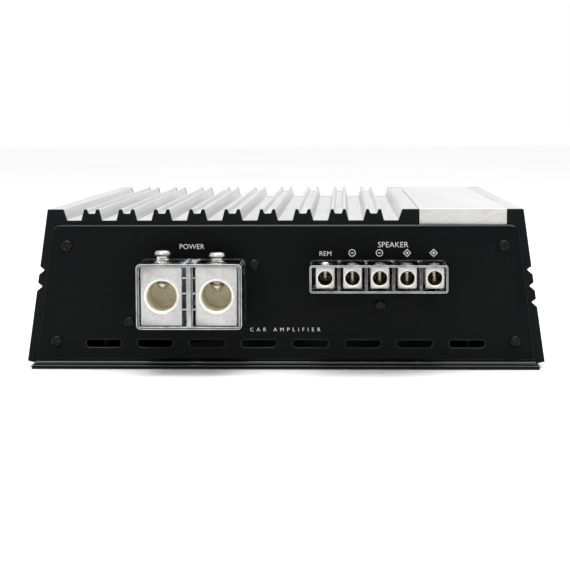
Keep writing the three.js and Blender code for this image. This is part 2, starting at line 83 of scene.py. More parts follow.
def round_floor():
    mesh = bpy.data.meshes.new("floor")
    turns = [2 * math.pi * i / FLOOR_SIDES for i in range(FLOOR_SIDES)]
    rim = [(FLOOR_RADIUS * math.cos(a), FLOOR_RADIUS * math.sin(a), -0.0001) for a in turns]
    mesh.from_pydata(rim, [], [list(range(FLOOR_SIDES))])
    return bpy.data.objects.new("floor", mesh)


def soft_box(name, place, aim, size, power):
    light = bpy.data.lights.new(name, "AREA")
    light.shape = "RECTANGLE"
    light.size, light.size_y = size
    light.energy = power
    lamp = bpy.data.objects.new(name, light)
    lamp.location = place
    lamp.rotation_euler = (Vector(aim) - Vector(place)).to_track_quat("-Z", "Y").to_euler()
    bpy.context.scene.collection.objects.link(lamp)


floor = round_floor()
bpy.context.scene.collection.objects.link(floor)
world = bpy.data.worlds.new("studio")
world.use_nodes = True
world.node_tree.nodes["Background"].inputs["Color"].default_value = (1, 1, 1, 1)
world.node_tree.nodes["Background"].inputs["Strength"].default_value = 1.0
bpy.context.scene.world = world
soft_box("overhead", (0.1, -0.15, 1.2), (0, 0, 0.05), (1.4, 0.9), 15)
soft_box("front_fill", (-0.5, -1.5, 0.9), (0, -0.1, 0.03), (0.9, 0.7), 2)
print("A white world, two soft boxes and a pale floor")

# %% [markdown]
# Node trees read better when each node is one line. `node` adds a node, sets its options, and fills
# each input with a plain value or with another node's output. It serves shader trees and geometry trees.

# %% A short way to write nodes


def node(tree, kind, inputs=None, **options):
    made = tree.nodes.new(kind)
    for option, value in options.items():
        setattr(made, option, value)
    for key, value in (inputs or {}).items():
        several = value if isinstance(value, list) else [value]
        for one in several:
            if isinstance(one, bpy.types.NodeSocket):
                tree.links.new(one, made.inputs[key])
            else:
                made.inputs[key].default_value = one
    return made


def new_group(kind, name, inputs, outputs):
    """An empty node group. Each input is (name, socket type, default or None)."""
    tree = bpy.data.node_groups.new(name, kind)
    for label, socket, default in inputs:
        made = tree.interface.new_socket(label, in_out="INPUT", socket_type=socket)
        if default is not None:
            made.default_value = default
    for label, socket in outputs:
        tree.interface.new_socket(label, in_out="OUTPUT", socket_type=socket)
    return tree, tree.nodes.new("NodeGroupInput").outputs, tree.nodes.new("NodeGroupOutput").inputs


VECTOR = "NodeSocketVector"
FLOAT = "NodeSocketFloat"
COUNT = "NodeSocketInt"
GEOMETRY = "NodeSocketGeometry"
MATERIAL = "NodeSocketMaterial"

# %% [markdown]
# Four effects return on many finishes, so each is a node group, built once.
#
# *Streaks* are fine parallel lines: noise whose coordinates are squeezed across one direction. An
# extruded, brushed or sawn metal shows them. *Grain* is the even relief of powder coat and moulded
# plastic. *Tone* is a slow change over centimetres, as handling leaves it. *Specks* are the sparse
# small marks that a used surface collects.

# %% Shader groups


def streaks_group():
    inputs = [("Squeeze", VECTOR, (2000, 10, 2000)), ("Turn", VECTOR, (0, 0, 0)), ("Detail", FLOAT, 3.0)]
    inputs += [("Low", FLOAT, 0.3), ("High", FLOAT, 0.7)]
    tree, given, result = new_group("ShaderNodeTree", "streaks", inputs, [("Lines", FLOAT)])
    place = node(tree, "ShaderNodeTexCoord")
    turned_place = node(
        tree, "ShaderNodeVectorRotate",
        {"Vector": place.outputs["Object"], "Rotation": given["Turn"]}, rotation_type="EULER_XYZ",
    )
    squeezed = node(
        tree, "ShaderNodeVectorMath", {0: turned_place.outputs[0], 1: given["Squeeze"]}, operation="MULTIPLY",
    )
    noise = node(
        tree, "ShaderNodeTexNoise", {"Vector": squeezed.outputs[0], "Scale": 1.0, "Detail": given["Detail"]},
    )
    spread = node(
        tree, "ShaderNodeMapRange",
        {"Value": noise.outputs["Fac"], "From Min": given["Low"], "From Max": given["High"]},
    )
    tree.links.new(spread.outputs["Result"], result["Lines"])
    return tree


def noise_group(name, scale, detail, roughness):
    """A noise of a given size, whose values between Low and High spread over 0 to 1."""
    inputs = [("Scale", FLOAT, scale), ("Low", FLOAT, 0.35), ("High", FLOAT, 0.65)]
    tree, given, result = new_group("ShaderNodeTree", name, inputs, [("Amount", FLOAT)])
    place = node(tree, "ShaderNodeTexCoord")
    noise = node(
        tree, "ShaderNodeTexNoise",
        {"Vector": place.outputs["Object"], "Scale": given["Scale"], "Detail": detail,
         "Roughness": roughness},
    )
    spread = node(
        tree, "ShaderNodeMapRange",
        {"Value": noise.outputs["Fac"], "From Min": given["Low"], "From Max": given["High"]},
    )
    tree.links.new(spread.outputs["Result"], result["Amount"])
    return tree


STREAKS = streaks_group()
GRAIN = noise_group("grain", 1800.0, 2.0, 0.5)
TONE = noise_group("tone", 28.0, 4.0, 0.6)
SPECKS = noise_group("specks", 420.0, 6.0, 0.75)
print("Shader groups:", [group.name for group in (STREAKS, GRAIN, TONE, SPECKS)])

# %% [markdown]
# A finish is a Principled surface with two colours and two roughnesses, and a pattern that moves
# between them. The same pattern, or a finer one, drives a shallow bump. A number that is the same all
# over the surface sits on the shader's own socket.

# %% The finish builder


def pattern_of(group, **values):
    """A function that places the group in a material's tree and gives its output."""
    return lambda tree: node(tree, "ShaderNodeGroup", values, node_tree=group).outputs[0]


def streaks(squeeze, turn=(0, 0, 0), detail=3.0):
    return pattern_of(STREAKS, Squeeze=squeeze, Turn=turn, Detail=detail, Low=0.32, High=0.68)


def grain(scale):
    return pattern_of(GRAIN, Scale=scale, Low=0.3, High=0.7)


def tone(scale):
    return pattern_of(TONE, Scale=scale, Low=0.3, High=0.7)


def specks(scale):
    return pattern_of(SPECKS, Scale=scale, Low=0.6, High=0.72)


def both(first, second, share):
    """The first pattern with a share of the second."""

    def place(tree):
        mixed = node(tree, "ShaderNodeMix", {0: share, 2: first(tree), 3: second(tree)}, data_type="FLOAT")
        return mixed.outputs[0]

    return place


def finish(name, colours, roughness, pattern, relief=None, depth=0.01, **constants):
    """depth is the height of the relief in millimetres."""
    material = bpy.data.materials.new(name)
    material.use_nodes = True
    tree = material.node_tree
    shader = tree.nodes["Principled BSDF"]
    for label, value in constants.items():
        shader.inputs[label.replace("_", " ")].default_value = value
    amount = pattern(tree)
    low, high = ((*colour, 1) for colour in colours)
    colour = node(tree, "ShaderNodeMix", {0: amount, 6: low, 7: high}, data_type="RGBA")
    tree.links.new(colour.outputs[2], shader.inputs["Base Color"])
    smoothest, roughest = roughness
    rough = node(tree, "ShaderNodeMapRange", {"Value": amount, "To Min": smoothest, "To Max": roughest})
    tree.links.new(rough.outputs["Result"], shader.inputs["Roughness"])
    height = (relief or pattern)(tree)
    bump = node(tree, "ShaderNodeBump", {"Distance": depth * MM, "Height": height})
    tree.links.new(bump.outputs["Normal"], shader.inputs["Normal"])
    return material


def grey(value, warm=0.0):
    return (value * (1 + warm), value, value * (1 - warm))


# %% [markdown]
# The heatsink is an extrusion with a satin silver finish, so its lines run along Y. The bar on top is
# brushed the same way, but its cut ends show the coarse slanting marks of the saw. The terminal blocks
# are pale nickel over a cast grain. Their lips and bores carry painted light and shade: the lip is a
# near-white painted highlight, the big bores are painted warm and lighter than the face to lift the
# shade inside, and the small bores are painted dark brown, as shade.

# %% Metals
ALONG_FINS = streaks((2600, 14, 2600))
ALONG_BAR = streaks((3200, 8, 3200))
SAW_MARKS = streaks((110, 300, 900), (0, math.radians(28), 0), 4.0)
ROLLED = streaks((1800, 1800, 60))
silver = finish(
    "silver_aluminium", (grey(0.53), grey(0.74)), (0.34, 0.48),
    both(ALONG_FINS, tone(14.0), 0.35), ALONG_FINS, 0.012, Metallic=1.0,
)
brushed = finish(
    "brushed_aluminium", (grey(0.68), grey(0.8)), (0.28, 0.4),
    both(ALONG_BAR, tone(20.0), 0.25), ALONG_BAR, 0.01, Metallic=1.0,
)
sawn = finish(
    "sawn_aluminium", (grey(0.46, 0.01), grey(0.63, 0.01)), (0.38, 0.55),
    both(SAW_MARKS, tone(30.0), 0.2), SAW_MARKS, 0.03, Metallic=0.7,
)
nickel = finish(
    "nickel_plate", (grey(0.38, 0.015), grey(0.55, 0.01)), (0.36, 0.52),
    both(grain(700.0), tone(110.0), 0.5), grain(1300.0), 0.015, Metallic=0.6,
)
# A near-white copy of the nickel for the chamfered lips: a painted highlight on top of their polish.
lip_nickel_painted_highlight = finish(
    "chamfer_nickel", (grey(0.86, 0.03), grey(0.96, 0.02)), (0.25, 0.35),
    tone(200.0), grain(2000.0), 0.005, Metallic=0.7,
)
# The big bores are painted warm and lighter than the face, to lift the shade inside them.
bore_nickel_painted_light = finish(
    "drilled_nickel", ((0.6, 0.555, 0.41), (0.88, 0.83, 0.66)), (0.34, 0.5),
    both(grain(1400.0), tone(220.0), 0.5), grain(2200.0), 0.012, Metallic=0.1,
)
# The small bores are painted dark brown, as the shade inside them.
bore_brass_painted_shade = finish(
    "drilled_brass", ((0.1, 0.078, 0.04), (0.24, 0.19, 0.1)), (0.26, 0.4),
    grain(1600.0), None, 0.01, Metallic=0.5,
)
screw_nickel = finish(
    "set_screw_steel", (grey(0.42, 0.07), grey(0.7, 0.06)), (0.16, 0.3),
    both(grain(1500.0), specks(900.0), 0.3), grain(2500.0), 0.004, Metallic=1.0,
)
gold = finish(
    "gold_plate", ((0.72, 0.46, 0.15), (0.88, 0.62, 0.25)), (0.12, 0.24),
    both(grain(1200.0), tone(90.0), 0.5), grain(2400.0), 0.004, Metallic=1.0,
)
tin = finish(
    "switch_case", (grey(0.45), grey(0.62)), (0.3, 0.45),
    both(ROLLED, specks(700.0), 0.3), ROLLED, 0.008, Metallic=1.0,
)
copper = finish(
    "copper_winding", ((0.36, 0.13, 0.05), (0.58, 0.24, 0.1)), (0.18, 0.32),
    both(grain(900.0), tone(80.0), 0.5), grain(2600.0), 0.005, Metallic=0.85,
)
print("Eleven metals")

# %% [markdown]
# The dark finishes. Powder coat has a soft, fine orange peel and faint specks. Its rounded edges get a
# lighter, much glossier copy of the coat: a painted highlight, so that the edges show a bright line where
# they catch the light. Moulded plastic has a finer grain. Black oxide on the screws is smoother than both.

# %% Paint and plastic
powder_coat = finish(
    "black_coating", (grey(0.0019, -0.12), grey(0.0041, -0.12)), (0.38, 0.5),
    both(grain(1500.0), specks(420.0), 0.25), grain(1500.0), 0.012, Specular_IOR_Level=0.065,
)
# A lighter, glossier copy of the powder coat for the rounded edges: a painted highlight.
edge_highlight_coat = finish(
    "coated_edge", (grey(0.007), grey(0.016)), (0.2, 0.36),
    both(tone(45.0), specks(300.0), 0.4), grain(1500.0), 0.006, Specular_IOR_Level=0.75,
)
frame_coat = finish(
    "end_frame_coating", (grey(0.0028, -0.1), grey(0.0056, -0.1)), (0.42, 0.55),
    both(grain(1900.0), tone(40.0), 0.4), grain(1900.0), 0.01, Specular_IOR_Level=0.075,
)
black_oxide = finish(
    "black_screw_steel", (grey(0.003), grey(0.009)), (0.18, 0.3),
    both(grain(2400.0), specks(1500.0), 0.4), grain(3000.0), 0.006, Specular_IOR_Level=0.15,
)
moulded = finish(
    "black_plastic", (grey(0.008), grey(0.017)), (0.42, 0.6),
    both(grain(2200.0), tone(70.0), 0.35), grain(2600.0), 0.012, Specular_IOR_Level=0.35,
)
knob_plastic = finish(
    "knob_plastic", (grey(0.007), grey(0.015)), (0.38, 0.52),
    both(grain(2600.0), specks(1300.0), 0.25), grain(2600.0), 0.01, Specular_IOR_Level=0.4,
)
resist = finish(
    "green_board", ((0.008, 0.07, 0.025), (0.014, 0.11, 0.04)), (0.3, 0.42),
    both(grain(500.0), tone(50.0), 0.5), grain(1600.0), 0.008,
)
shrink_sleeve = finish(
    "capacitor_sleeve", ((0.008, 0.012, 0.03), (0.014, 0.02, 0.045)), (0.22, 0.32),
    both(tone(60.0), grain(1500.0), 0.3), tone(120.0), 0.04,
)
epoxy = finish("epoxy_package", (grey(0.01), grey(0.02)), (0.5, 0.65), grain(2200.0))
print_ink = finish("print_ink", (grey(0.72), grey(0.86)), (0.5, 0.6), grain(4000.0), None, 0.002)
red_nylon = finish("red_insulator", ((0.45, 0.01, 0.01), (0.6, 0.02, 0.015)), (0.25, 0.35), grain(2500.0))
white_nylon = finish("white_insulator", (grey(0.7), grey(0.82)), (0.25, 0.35), grain(2500.0))
floor.data.materials.append(finish("floor_paint", (grey(0.93), grey(0.97)), (0.7, 0.8), tone(2.0), None, 0.0))
print("Twelve paints and plastics, and the floor's own paint")

# %% [markdown]
# Clear polycarbonate lets the light through, with faint moulding waves and fine scratches. The light that
# runs inside the walls leaves at the rounded edges, and here that glow is painted: the rounded edges get a
# pale finish that shows as pale outlines against the black panel. The cut rim between two edges is painted
# dim grey. A thick divider gathers more light than a thin one, so the power cover's divider is painted pale
# and the speaker cover's divider is painted dim.

# %% Clear plastic
clear = finish(
    "clear_plastic", (grey(0.93), grey(0.99)), (0.02, 0.09),
    both(tone(60.0), specks(600.0), 0.3), tone(110.0), 0.03, Transmission_Weight=1.0, IOR=1.5,
)
# Painted light: a pale finish for the rounded edges, standing in for the light that runs inside the walls.
lit_edge = finish(
    "lit_edge", (grey(0.26, -0.02), grey(0.95, -0.02)), (0.12, 0.26),
    both(tone(190.0), specks(700.0), 0.3), tone(260.0), 0.03, Transmission_Weight=0.1, IOR=1.5,
)
# Painted shade: the cut rim is painted dim grey.
painted_dim_rim = finish(
    "frosted_rim", (grey(0.05, -0.02), grey(0.19, -0.02)), (0.18, 0.34),
    both(tone(170.0), specks(700.0), 0.3), tone(260.0), 0.03, Transmission_Weight=0.15, IOR=1.5,
)
# Painted light: the front of the thick divider is painted pale for the light it gathers.
thick_divider = finish(
    "thick_divider", (grey(0.27, -0.03), grey(0.48, -0.03)), (0.2, 0.34),
    both(tone(150.0), specks(900.0), 0.3), tone(260.0), 0.03, Transmission_Weight=0.1, IOR=1.5,
)
# Painted shade: the front of the thin divider is painted dim, as it gathers less light.
thin_divider = finish(
    "thin_divider", ((0.012, 0.01, 0.008), (0.1, 0.085, 0.07)), (0.2, 0.34),
    both(tone(210.0), specks(900.0), 0.3), tone(260.0), 0.03, Transmission_Weight=0.2, IOR=1.5,
)
lens = finish(
    "led_lens", ((0.1, 0.25, 0.8), (0.2, 0.4, 0.9)), (0.08, 0.16), tone(400.0), None, 0.01,
    Transmission_Weight=0.6, IOR=1.5,
)
print("Five clear plastics and the lens of the lamp")

# %% [markdown]
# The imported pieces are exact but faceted, with knife-sharp edges. Real edges are rounded, and the thin
# highlight along a rounded edge makes a thing look solid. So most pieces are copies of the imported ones:
# their loose triangles are merged, flat areas are joined, and the sharp edges get a bevel whose shading
# leaves the flats flat. A copy may also carry a second finish on some of its faces.

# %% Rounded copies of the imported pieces
SHARP_TURN = 28


def show(name, mesh, *materials):
    """An object in the scene, with its finishes. Clearing a mesh's finishes forgets which face has
    which, so the numbers are kept and put back."""
    made = bpy.data.objects.new(name, mesh)
    bpy.context.scene.collection.objects.link(made)
    numbers = [face.material_index for face in mesh.polygons]
    mesh.materials.clear()
    for material in materials:
        mesh.materials.append(material)
    if len(materials) > 1:
        mesh.polygons.foreach_set("material_index", numbers)
    return made


def stand_for(piece, body, *packed):
    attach(piece, body)
    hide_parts(*packed)


def merged_copy(packed, choose_finish=None, weigh_edge=None, slices=()):
    """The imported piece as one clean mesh. Each face can choose its finish, and each edge its roundness.
    A slice is a plane, as (place, normal), along which faces are divided."""
    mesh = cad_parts[packed].data.copy()
    mesh.name = packed + "_finished"
    work = bmesh.new()
    work.from_mesh(mesh)
    bmesh.ops.remove_doubles(work, verts=work.verts, dist=2e-6)
    bmesh.ops.dissolve_limit(work, angle_limit=math.radians(0.5), verts=work.verts, edges=work.edges)
    for place, normal in slices:
        every = work.verts[:] + work.edges[:] + work.faces[:]
        bmesh.ops.bisect_plane(work, geom=every, dist=1e-6, plane_co=place, plane_no=normal)
    work.normal_update()
    for face in work.faces:
        face.material_index = choose_finish(face) if choose_finish else 0
    if weigh_edge:
        weight = work.edges.layers.float.new("bevel_weight_edge")
        for edge in work.edges:
            edge[weight] = weigh_edge(edge)
    work.to_mesh(mesh)
    work.free()
    return mesh


def round_edges(piece, width, segments=2, by_weight=False, edge_finish=-1):
    piece.data.shade_smooth()
    bevel = piece.modifiers.new("rounded", "BEVEL")
    bevel.width = width * MM
    bevel.segments = segments
    bevel.limit_method = "WEIGHT" if by_weight else "ANGLE"
    bevel.angle_limit = math.radians(SHARP_TURN)
    bevel.harden_normals = True
    bevel.use_clamp_overlap = not by_weight
    bevel.material = edge_finish


def rounded(packed, width, *materials, segments=2, choose_finish=None, weigh_edge=None, slices=(),
            edge_finish=-1, body="casing"):
    """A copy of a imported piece, rounded by a width in millimetres, which stands for it."""
    mesh = merged_copy(packed, choose_finish, weigh_edge, slices)
    piece = show(packed + "_finished", mesh, *materials)
    round_edges(piece, width, segments, bool(weigh_edge), edge_finish)
    stand_for(piece, body, packed)
    return piece


# %% [markdown]
# The casing: the extruded heatsink, the bar in its seat, the two black end frames cut to the same
# profile, the bent front and rear panels, and the base plate. On the bar, the two ends are sawn. It is
# pressed into its seat, so the copy is a little wider than the imported bar. On the panels, the rounded
# edges get the lighter, glossier edge finish, a painted highlight.

# %% The casing
PRESS_FIT = 0.24
# Where the parts of a panel start, in millimetres: the lip of the foot, the top edge and the two sides.
LIP_TOP = 4.2
LIP_START = 129
TOP_EDGE_LEVEL = 66
SIDE_START = 105


def bar_finish(face):
    return 1 if abs(face.normal.y) > 0.9 else 0


def turn_of(edge):
    """The angle between the two faces of an edge, in degrees."""
    return math.degrees(edge.calc_face_angle()) if len(edge.link_faces) == 2 else 0


def panel_weight(edge):
    """The top edge and the lip of the foot are rounder than the edges of the holes."""
    if turn_of(edge) < SHARP_TURN:
        return 0
    place = (edge.verts[0].co + edge.verts[1].co) / 2
    along = (edge.verts[1].co - edge.verts[0].co).normalized()
    on_lip = place.z < LIP_TOP * MM and abs(place.y) > LIP_START * MM
    on_top = place.z > TOP_EDGE_LEVEL * MM and abs(along.x) > 0.98
    if on_top or on_lip:
        return 1
    return 0.25 if abs(place.x) < SIDE_START * MM else 0.12


heatsink = rounded("heatsink", 0.3, silver)
top_bar = rounded("top_bar", 0.3, brushed, sawn, choose_finish=bar_finish)
bar_middle = sum(corner.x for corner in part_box("top_bar")) / 2
for vertex in top_bar.data.vertices:
    vertex.co.x += math.copysign(PRESS_FIT * MM, vertex.co.x - bar_middle)
for end in ("front", "rear"):
    rounded(f"{end}_end_frame", 0.3, frame_coat)
    rounded(f"{end}_panel", 0.7, powder_coat, edge_highlight_coat, segments=4, weigh_edge=panel_weight, edge_finish=1)
print("Six casing pieces, with", len(heatsink.data.polygons), "flats on the heatsink")

# %% [markdown]
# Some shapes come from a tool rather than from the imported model. `solid_of` takes an object's final
# shape as a plain mesh and removes the object. `cut_away` uses it for a boolean cut. `turned` spins a
# profile like a lathe. `joined` puts several meshes in one. The three matrices lay a shape that was
# drawn flat, facing +Z, on the front, the rear or the underside of the amplifier.

# %% Workshop tools
ON_FRONT = Matrix(((1, 0, 0, 0), (0, 0, -1, 0), (0, 1, 0, 0), (0, 0, 0, 1)))
ON_REAR = Matrix(((-1, 0, 0, 0), (0, 0, 1, 0), (0, 1, 0, 0), (0, 0, 0, 1)))
UNDERNEATH = Matrix(((1, 0, 0, 0), (0, -1, 0, 0), (0, 0, -1, 0), (0, 0, 0, 1)))


def solid_of(holder, name):
    graph = bpy.context.evaluated_depsgraph_get()
    mesh = bpy.data.meshes.new_from_object(holder.evaluated_get(graph))
    mesh.name = name
    bpy.data.objects.remove(holder)
    return mesh


def cut_away(mesh, tool_mesh):
    whole = show("whole", mesh)
    tool = show("tool", tool_mesh)
    cutter = whole.modifiers.new("cut", "BOOLEAN")
    cutter.operation = "DIFFERENCE"
    cutter.object = tool
    result = solid_of(whole, mesh.name)
    bpy.data.objects.remove(tool)
    return result


def from_faces(name, places, faces):
    mesh = bpy.data.meshes.new(name)
    mesh.from_pydata(places, [], faces)
    work = bmesh.new()
    work.from_mesh(mesh)
    bmesh.ops.recalc_face_normals(work, faces=work.faces)
    work.to_mesh(mesh)
    work.free()
    return mesh


def closed(*outline):
    """An outline that ends where it starts."""
    return [*outline, outline[0]]


def turned(profile, steps=40):
    """Spins (radius, height) pairs, in millimetres, round Z. The profile starts and ends on the axis,
    or it closes."""
    is_loop = profile[0] == profile[-1]
    rings = profile[:-1] if is_loop else profile
    places, starts = [], []
    for radius, height in rings:
        starts.append(len(places))
        turns = range(steps if radius else 1)
        angles = [2 * math.pi * i / steps for i in turns]
        places += [(radius * MM * math.cos(a), radius * MM * math.sin(a), height * MM) for a in angles]
    faces = []
    pairs = list(zip(range(len(rings)), range(1, len(rings))))
    if is_loop:
        pairs.append((len(rings) - 1, 0))
    for low, high in pairs:
        for i in range(steps):
            j = (i + 1) % steps
            around = ((low, i), (low, j), (high, j), (high, i))
            corners = [starts[ring] + (spot if rings[ring][0] else 0) for ring, spot in around]
            faces.append(list(dict.fromkeys(corners)))
    return from_faces("turned", places, faces)


def slab(low, high):
    """A box between two corners, in millimetres."""
    work = bmesh.new()
    bmesh.ops.create_cube(work, size=1)
    size = (Vector(high) - Vector(low)) * MM
    middle = (Vector(high) + Vector(low)) * MM / 2
    placing = Matrix.Translation(middle) @ Matrix.Diagonal((*size, 1))
    bmesh.ops.transform(work, verts=work.verts, matrix=placing)
    mesh = bpy.data.meshes.new("slab")
    work.to_mesh(mesh)
    work.free()
    return mesh


def joined(name, meshes):
    """Several meshes as one. Each keeps its faces' finish numbers."""
    work = bmesh.new()
    for mesh in meshes:
        work.from_mesh(mesh)
    result = bpy.data.meshes.new(name)
    work.to_mesh(result)
    work.free()
    return result


def moved(mesh, x, y, z, facing=Matrix()):
    """The mesh turned to face a side and set at a place, in millimetres."""
    mesh.transform(Matrix.Translation(Vector((x, y, z)) * MM) @ facing)
    return mesh


def smooth(mesh, sharp=32):
    mesh.shade_smooth()
    mesh.set_sharp_from_angle(angle=math.radians(sharp))
    return mesh


def with_finish(mesh, number):
    """The mesh with all its faces on one of its finishes."""
    for face in mesh.polygons:
        face.material_index = number
    return mesh


def box_of(packed):
    """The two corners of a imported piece, in millimetres."""
    return [Vector(corner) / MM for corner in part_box(packed)]


def middle_of(packed):
    low, high = box_of(packed)
    return (low + high) / 2


# %% [markdown]
# Geometry Nodes make what repeats. `grown` gives a tree some points to start from, sets its named
# inputs by their identifiers, and takes the result as a plain mesh. A grown mesh has one finish, so its
# list of finishes is cleared, and every face counts as the first when it is joined to other meshes.

# %% Growing a mesh from a tree


def grown(name, tree, points=(), start=None, **values):
    mesh = start or bpy.data.meshes.new(name)
    if points:
        mesh.from_pydata([Vector(p) * MM for p in points], [], [])
    holder = bpy.data.objects.new(name, mesh)
    bpy.context.scene.collection.objects.link(holder)
    modifier = holder.modifiers.new(tree.name, "NODES")
    modifier.node_group = tree
    for socket in tree.interface.items_tree:
        key = socket.name.replace(" ", "_")
        if socket.in_out == "INPUT" and key in values:
            modifier[socket.identifier] = values[key]
    result = solid_of(holder, name)
    result.materials.clear()
    return result


def new_tree(name, inputs):
    return new_group("GeometryNodeTree", name, inputs, [("Geometry", GEOMETRY)])


def deliver(tree, geometry, material, result):
    """Ends a tree: real geometry, with its finish."""
    real = node(tree, "GeometryNodeRealizeInstances", {0: geometry})
    painted = node(tree, "GeometryNodeSetMaterial", {"Geometry": real.outputs[0], "Material": material})
    tree.links.new(painted.outputs[0], result["Geometry"])
    return tree


# %% [markdown]
# The panels are held by black pan-head screws with a cross recess. On the real thing no two crosses
# stand at the same angle, so each instance gets a random turn from a fixed seed. One tree serves the
# corner screws, the terminal screws and the flat screws underneath.

# %% A tree for cross-recess screws


def screw_tree():
    sizes = [("Head Radius", 0.0029), ("Head Height", 0.0015), ("Shank Radius", 0.0015),
             ("Shank Length", 0.007), ("Recess Width", 0.0012), ("Recess Depth", 0.0013)]
    inputs = [("Geometry", GEOMETRY, None)] + [(label, FLOAT, size) for label, size in sizes]
    inputs += [("Seed", COUNT, 1), ("Material", MATERIAL, None)]
    tree, given, result = new_tree("cross_recess_screws", inputs)

    def times(value, factor):
        return node(tree, "ShaderNodeMath", {0: value, 1: factor}, operation="MULTIPLY").outputs[0]

    def size_of(x, y, z):
        return node(tree, "ShaderNodeCombineXYZ", {0: x, 1: y, 2: z}).outputs[0]

    radius, height = given["Head Radius"], given["Head Height"]
    ball = node(tree, "GeometryNodeMeshUVSphere", {"Segments": 40, "Rings": 24, "Radius": 1.0})
    dome = node(
        tree, "GeometryNodeTransform",
        {"Geometry": ball.outputs[0], "Scale": size_of(radius, radius, times(height, 1.25))},
    )
    width = times(radius, 2.4)
    slice_box = node(tree, "GeometryNodeMeshCube", {"Size": size_of(width, width, height)})
    raised = node(
        tree, "GeometryNodeTransform",
        {"Geometry": slice_box.outputs[0], "Translation": size_of(0.0, 0.0, times(height, 0.5))},
    )
    head = node(
        tree, "GeometryNodeMeshBoolean", {"Mesh 2": [dome.outputs[0], raised.outputs[0]]},
        operation="INTERSECT", solver="EXACT",
    )
    arm, depth = times(radius, 1.15), times(given["Recess Depth"], 2.0)
    bars = []
    for size in (size_of(arm, given["Recess Width"], depth), size_of(given["Recess Width"], arm, depth)):
        bar = node(tree, "GeometryNodeMeshCube", {"Size": size})
        lifted = node(
            tree, "GeometryNodeTransform",
            {"Geometry": bar.outputs[0], "Translation": size_of(0.0, 0.0, height)},
        )
        bars.append(lifted.outputs[0])
    crossed = node(
        tree, "GeometryNodeMeshBoolean", {"Mesh 1": head.outputs[0], "Mesh 2": bars},
        operation="DIFFERENCE", solver="EXACT",
    )
    rod = node(
        tree, "GeometryNodeMeshCylinder",
        {"Vertices": 20, "Radius": given["Shank Radius"], "Depth": given["Shank Length"]},
    )
    shank = node(
        tree, "GeometryNodeTransform",
        {"Geometry": rod.outputs[0], "Translation": size_of(0.0, 0.0, times(given["Shank Length"], -0.5))},
    )
    screw = node(tree, "GeometryNodeJoinGeometry", {0: [crossed.outputs[0], shank.outputs[0]]})
    spin = node(
        tree, "FunctionNodeRandomValue", {0: (0, 0, 0), 1: (0, 0, math.pi / 2), 8: given["Seed"]},
        data_type="FLOAT_VECTOR",
    )
    placed = node(
        tree, "GeometryNodeInstanceOnPoints",
        {"Points": given["Geometry"], "Instance": screw.outputs[0], "Rotation": spin.outputs[0]},
    )
    return deliver(tree, placed.outputs[0], given["Material"], result)


SCREWS = screw_tree()
print("The screw tree has", len(SCREWS.nodes), "nodes")

# %% Panel and terminal screws
COVER_REACH = 28
FRONT_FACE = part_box("power_terminal_cover")[0].y / MM + COVER_REACH
REAR_FACE = 144


def screws_on(name, packed, facing, face, seed, **sizes):
    """The screws at the places of some packed ones, as one piece."""
    places = [middle_of(one) for one in packed]
    flip = facing[0][0]
    points = [(flip * place.x, place.z, 0) for place in places]
    mesh = grown(name, SCREWS, points, Seed=seed, Material=black_oxide, **sizes)
    piece = show(name, smooth(moved(mesh, 0, face, 0, facing)), black_oxide)
    stand_for(piece, "casing", *packed)
    print(name, "has", len(points), "screws and", len(mesh.polygons), "faces")


screws_on("front_panel_screws", [f"front_panel_screw_{i}" for i in range(1, 5)], ON_FRONT, FRONT_FACE, 4)
screws_on("terminal_screws", [f"terminal_screw_{i}" for i in range(1, 4)], ON_FRONT, FRONT_FACE, 9)
screws_on("rear_panel_screws", [f"rear_panel_screw_{i}" for i in range(1, 5)], ON_REAR, REAR_FACE, 2)

# %% [markdown]
# The base plate is held to the heatsink from below by flat-head screws in countersinks, so that the
# amplifier sits flat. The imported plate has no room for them, so the copy is cut with eight cones first.

# %% The base plate and its screws
BASE_SCREW_X = 113
BASE_SCREW_YS = (-108, -36, 36, 108)
BASE_HEADS = 0.95
COUNTERSINK = [(0, -1), (3.6, -1), (3.2, 0), (1.9, 1.2), (0, 1.2)]
base_places = [(side * BASE_SCREW_X, y) for side in (-1, 1) for y in BASE_SCREW_YS]
countersinks = [moved(turned(COUNTERSINK, 32), x, y, 0) for x, y in base_places]
base_mesh = cut_away(merged_copy("base_plate"), joined("countersinks", countersinks))
base_mesh.name = "base_plate_finished"
# The base plate's rounded edges also get the painted edge highlight.
base = show("base_plate_finished", base_mesh, powder_coat, edge_highlight_coat)
round_edges(base, 0.45, 3, edge_finish=1)
stand_for(base, "casing", "base_plate")
base_screws = grown(
    "base_screws", SCREWS, [(x, -y, 0) for x, y in base_places], Seed=7, Material=black_oxide,
    Head_Radius=2.9 * MM, Head_Height=0.9 * MM, Shank_Length=1.4 * MM, Recess_Depth=0.7 * MM,
)
base_screws = show("base_screws", smooth(moved(base_screws, 0, 0, BASE_HEADS, UNDERNEATH)), black_oxide)
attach(base_screws, "casing")
print(len(base_places), "base screws")

# %% [markdown]
# The terminal blocks are nickel-plated brass. Each has a wire bore with a chamfered lip in its face.
# The lip is polished by the countersink, and its shine is also painted: a near-white copy of the nickel, a
# painted highlight. The big bores are painted warm and lighter than the face, to lift the shade inside, and
# the small ones are painted dark, as shade. The long corners of the small blocks are rounder than their
# front edges, so each edge has its own weight.

# %% Terminal blocks
BLOCK_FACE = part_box("power_block_left")[0].y


